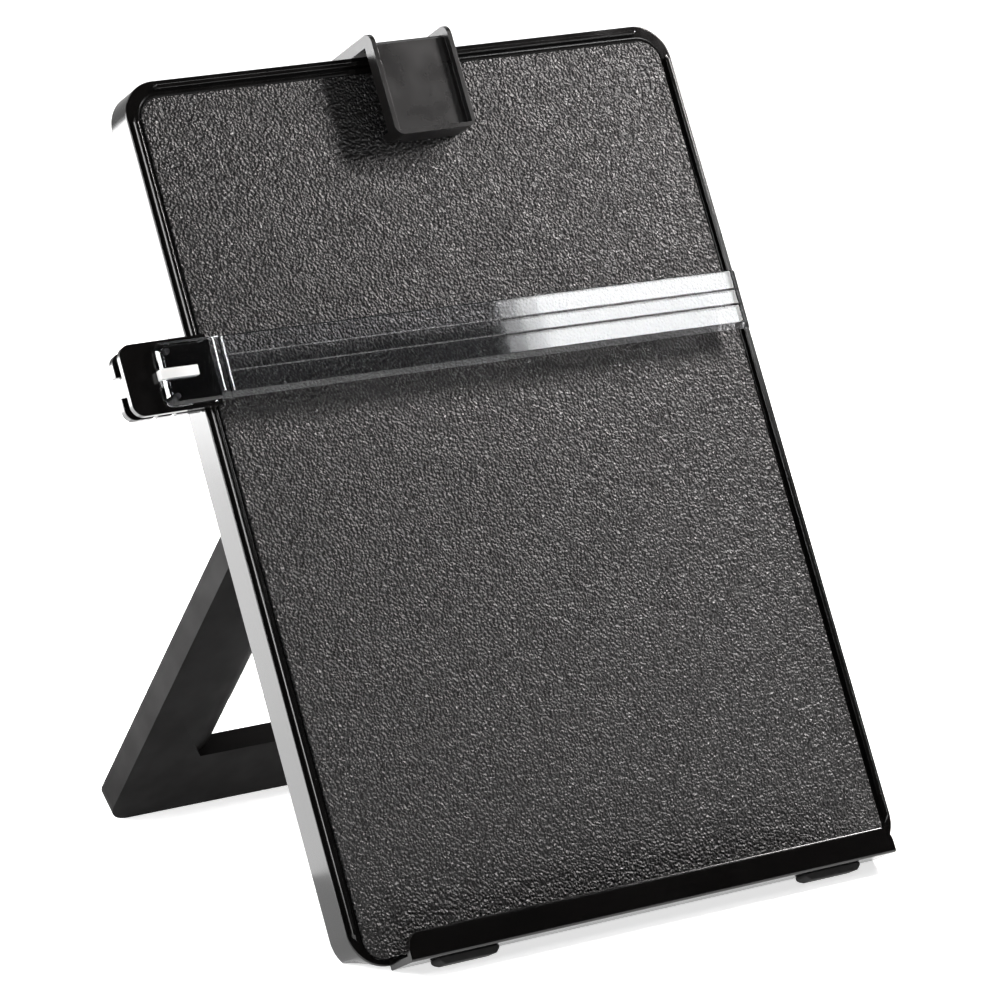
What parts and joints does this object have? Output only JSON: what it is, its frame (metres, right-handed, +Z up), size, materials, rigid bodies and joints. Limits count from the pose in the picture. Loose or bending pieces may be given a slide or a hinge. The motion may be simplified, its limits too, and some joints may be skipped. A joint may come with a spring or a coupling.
{
  "type": "desktop copy holder with line guide",
  "caption": "Black plastic desktop copy holder with a bottom ledge, rear easel leg, sprung paper clip on the top edge and a clear line guide that slides along the board.",
  "frame": {"origin": "centre of the bounding box on the desk, with the holder standing open as in use", "axes": "+X to the right seen from the reader, +Y away from the reader towards the easel leg, +Z up"},
  "size_m": [0.2594, 0.2084, 0.2883],
  "materials": {
    "black_plastic": "satin",
    "grained_plastic": "pebble grain",
    "clip_plastic": "satin",
    "clear_plastic": "clear, polished",
    "black_rubber": "matte",
    "dark_steel": "black",
    "bright_steel": "plain"
  },
  "bodies": {
    "board": {"front_shell": "black_plastic", "face_panel": "grained_plastic", "rear_cover": "black_plastic", "cover_screws": "dark_steel", "ledge": "black_plastic", "foot_pads": "black_rubber", "hinge_brackets": "black_plastic", "hinge_screws": "dark_steel", "leg_pins": "bright_steel", "detent_springs": "bright_steel", "clip_bracket": "bright_steel", "clip_screws": "dark_steel", "clip_pin": "bright_steel", "clip_spring": "bright_steel"},
    "leg": {"easel_leg": "black_plastic"},
    "clip": {"clip_lever": "clip_plastic"},
    "guide_carrier": {"rear_lever": "black_plastic", "guide_pin": "bright_steel", "guide_spring": "bright_steel"},
    "guide_lever": {"front_lever": "black_plastic", "guide_bar": "clear_plastic", "bar_screws": "dark_steel"}
  },
  "joints": [
    {"name": "leg_hinge", "type": "hinge", "parent": "board", "child": "leg", "pos_m": [0.01525, 0.00519, 0.12954], "axis": [1, 0, 0], "range_deg": [-66.7, 10]},
    {"name": "clip_hinge", "type": "hinge", "parent": "board", "child": "clip", "pos_m": [0.01525, 0.07768, 0.26945], "axis": [-1, 0, 0], "range_deg": [0, 20], "stiffness_Nm_per_rad": 0.25, "springref_deg": -20.05, "deforming": ["clip_spring"]},
    {"name": "guide_slide", "type": "slide", "parent": "board", "child": "guide_carrier", "axis": [0, 0.4863, 0.8738], "range_m": [-0.184, 0.058]},
    {"name": "guide_squeeze", "type": "hinge", "parent": "guide_carrier", "child": "guide_lever", "pos_m": [-0.10575, 0.01111, 0.18748], "axis": [0, -0.4863, -0.8738], "range_deg": [0, 9], "stiffness_Nm_per_rad": 0.2, "springref_deg": -20.05, "deforming": ["guide_spring"]}
  ]
}
